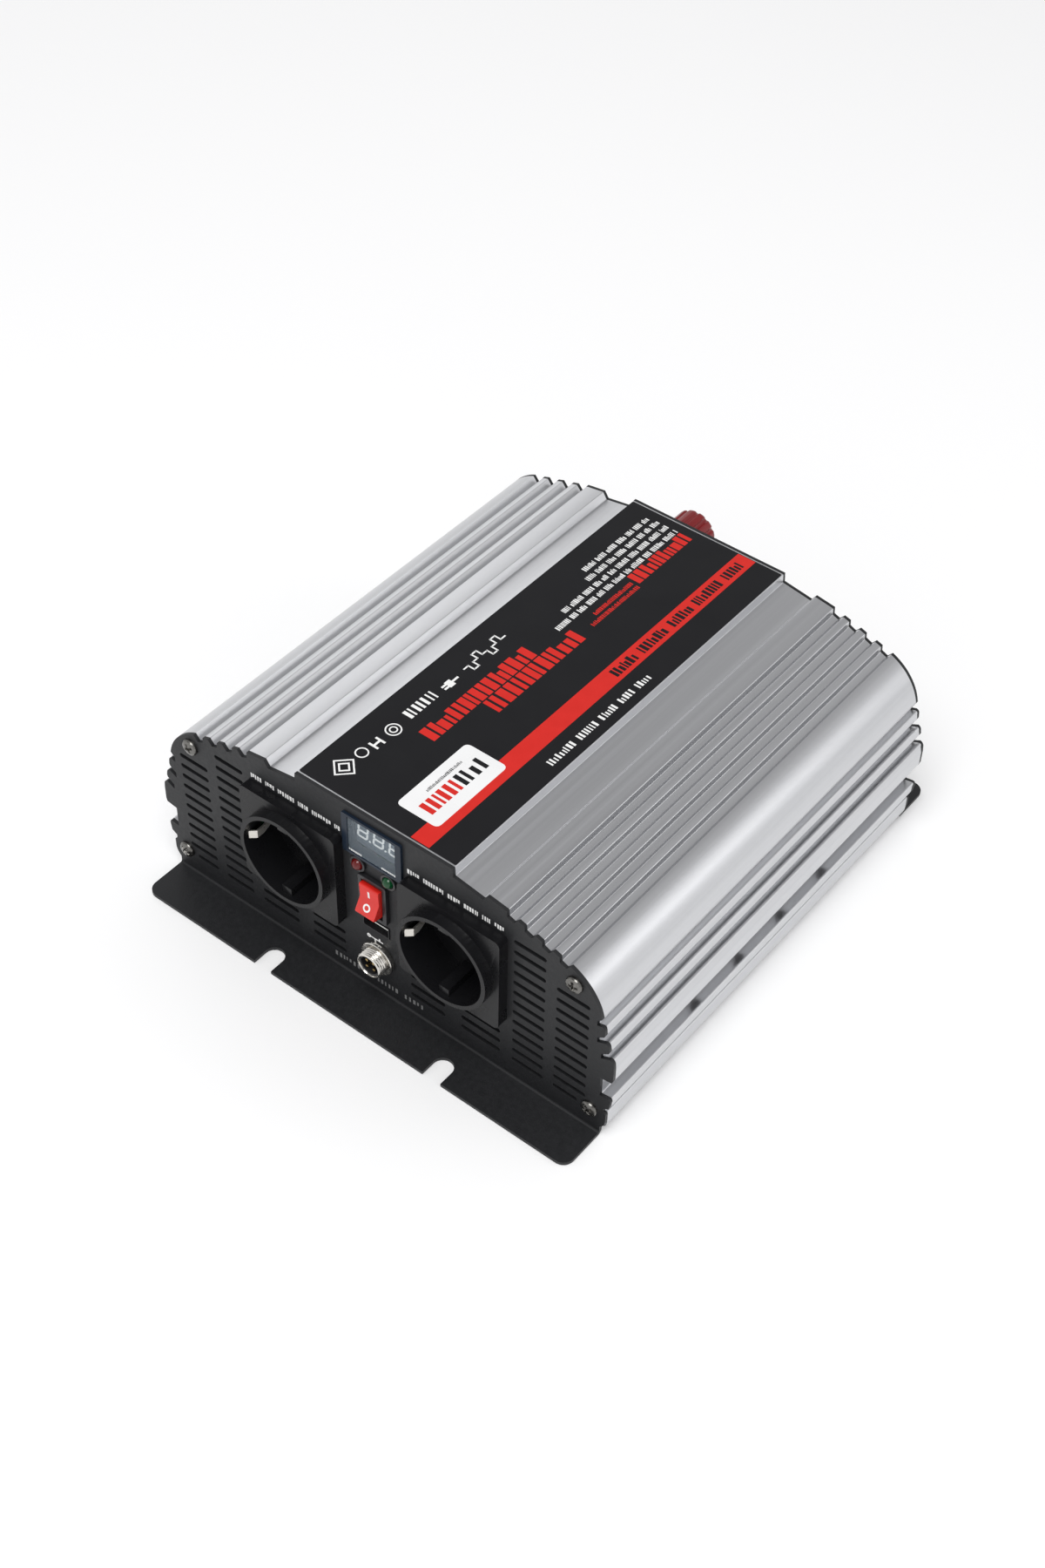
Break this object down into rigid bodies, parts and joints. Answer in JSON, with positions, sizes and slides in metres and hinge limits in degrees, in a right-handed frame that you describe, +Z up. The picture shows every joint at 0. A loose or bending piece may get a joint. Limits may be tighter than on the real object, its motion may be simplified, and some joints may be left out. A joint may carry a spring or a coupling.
{
  "type": "power inverter",
  "caption": "Mobile power inverter: finned aluminium case on flanged end plates, earthed sockets, rocker switch, display and charging port in front, knob terminals and fan behind.",
  "frame": {"origin": "centre of the overall box in x and y, on the plane that the flanges stand on", "axes": "+Z up, front panel faces -Y, +X to the right when the front is to the south"},
  "size_m": [0.227, 0.2644, 0.0984],
  "materials": {
    "anodised_aluminium": "satin",
    "plain_aluminium": "mill finish",
    "black_powder_coat": "fine powder coat",
    "zinc_screws": "zinc plated",
    "black_screws": "blackened",
    "printed_label": "semi-gloss film with red band and marks",
    "socket_plastic": "gloss",
    "nickel": "nickel plated",
    "brass": "bright",
    "display_border": "gloss",
    "display_lens": "tinted",
    "display_face": "matt",
    "lit_segments": "diffusing",
    "circuit_board": "solder resist",
    "black_plastic": "fine texture",
    "red_lens": "clear tinted",
    "green_lens": "clear tinted",
    "red_rocker": "gloss",
    "white_plastic": "matt",
    "chip_epoxy": "moulded epoxy",
    "insulating_card": "matt",
    "ferrite": "sintered",
    "yellow_tape": "polyester tape",
    "capacitor_sleeve": "shrink sleeve",
    "core_coating": "epoxy coat",
    "copper": "enamelled or bare copper",
    "fuse_plastic": "clear tinted",
    "lead_insulation": "matt",
    "red_terminal": "gloss",
    "fan_plastic": "moulded",
    "chromed_wire": "bright"
  },
  "bodies": {
    "case": {"top_shell": "anodised_aluminium", "base_tray": "anodised_aluminium", "front_plate": "black_powder_coat", "rear_plate": "black_powder_coat", "plate_screws": "zinc_screws", "top_label": "printed_label", "left_socket": "socket_plastic", "right_socket": "socket_plastic", "earth_clips": "nickel", "socket_contacts": "brass", "display_bezel": "display_border", "display_window": "display_lens", "display_module": "display_face", "display_digits": "lit_segments", "front_boards": "circuit_board", "led_holders": "black_plastic", "red_led": "red_lens", "green_led": "green_lens", "switch_housing": "black_plastic", "switch_tabs": "nickel", "usb_shell": "nickel", "usb_tongue": "white_plastic", "connector_body": "nickel", "connector_nut": "nickel", "connector_insert": "black_plastic", "connector_pins": "brass", "clamp_screws": "black_screws", "clamp_bars": "plain_aluminium", "power_transistors": "chip_epoxy", "transistor_tabs": "nickel", "insulating_sheet": "insulating_card", "board_standoffs": "brass", "board_screws": "zinc_screws", "main_board": "circuit_board", "transformer_cores": "ferrite", "transformer_windings": "yellow_tape", "input_capacitors": "capacitor_sleeve", "bus_capacitors": "capacitor_sleeve", "choke_core": "core_coating", "choke_winding": "copper", "fuses": "fuse_plastic", "control_board": "circuit_board", "control_chips": "chip_epoxy", "ac_leads": "lead_insulation", "dc_busbars": "copper", "dc_studs": "brass", "terminal_nuts": "brass", "red_base": "red_terminal", "black_base": "black_plastic", "fan_frame": "fan_plastic", "fan_guard": "chromed_wire", "fan_screws": "black_screws", "ground_terminal": "zinc_screws"},
    "rocker": {"rocker": "red_rocker"},
    "fan_rotor": {"fan_rotor": "fan_plastic"},
    "red_washer": {"red_washer": "nickel"},
    "red_knob": {"red_knob": "red_terminal"},
    "black_washer": {"black_washer": "nickel"},
    "black_knob": {"black_knob": "black_plastic"}
  },
  "joints": [
    {"name": "rocker_tip", "type": "hinge", "parent": "case", "child": "rocker", "pos_m": [0, -0.11075, 0.056], "axis": [1, 0, 0], "range_deg": [0, 26]},
    {"name": "fan_spin", "type": "hinge", "parent": "case", "child": "fan_rotor", "pos_m": [0.044, 0.09325, 0.046], "axis": [0, 1, 0], "continuous": true},
    {"name": "red_washer_lift", "type": "slide", "parent": "case", "child": "red_washer", "axis": [0, 1, 0], "range_m": [0, 0.005]},
    {"name": "red_knob_turn", "type": "hinge", "parent": "red_washer", "child": "red_knob", "pos_m": [-0.025, 0.11725, 0.07], "axis": [0, 1, 0], "range_deg": [0, 1440]},
    {"name": "black_washer_lift", "type": "slide", "parent": "case", "child": "black_washer", "axis": [0, 1, 0], "range_m": [0, 0.005]},
    {"name": "black_knob_turn", "type": "hinge", "parent": "black_washer", "child": "black_knob", "pos_m": [-0.025, 0.11725, 0.03], "axis": [0, 1, 0], "range_deg": [0, 1440]}
  ],
  "couplings": [
    {"joint": "red_washer_lift", "follows": "red_knob_turn", "m_per_rad": 0.0001989},
    {"joint": "black_washer_lift", "follows": "black_knob_turn", "m_per_rad": 0.0001989}
  ]
}
